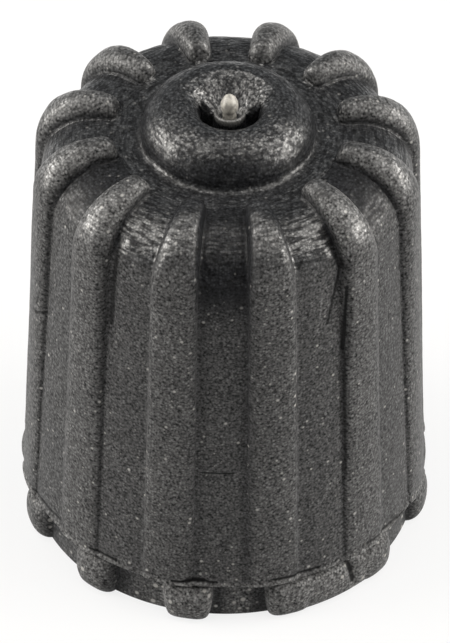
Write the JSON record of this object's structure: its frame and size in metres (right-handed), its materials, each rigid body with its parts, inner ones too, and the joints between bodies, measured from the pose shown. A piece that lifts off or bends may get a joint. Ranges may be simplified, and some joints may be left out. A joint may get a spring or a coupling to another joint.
{
  "type": "tyre valve cap",
  "caption": "Ribbed plastic dust cap that screws onto a car tyre's valve stem, with a lobed foot and a raised ring round the moulding gate on its closed end.",
  "frame": {"origin": "centre of the mouth, on the flat rim that the cap stands on", "axes": "+Z along the cap's axis, from the open mouth to the closed end; -Y is the side that faces the camera in the picture"},
  "size_m": [0.01, 0.01, 0.0126],
  "materials": {
    "black_plastic": "grained black, slightly glossy on the shoulders"
  },
  "bodies": {
    "root": {"valve_cap": "black_plastic"}
  },
  "joints": []
}
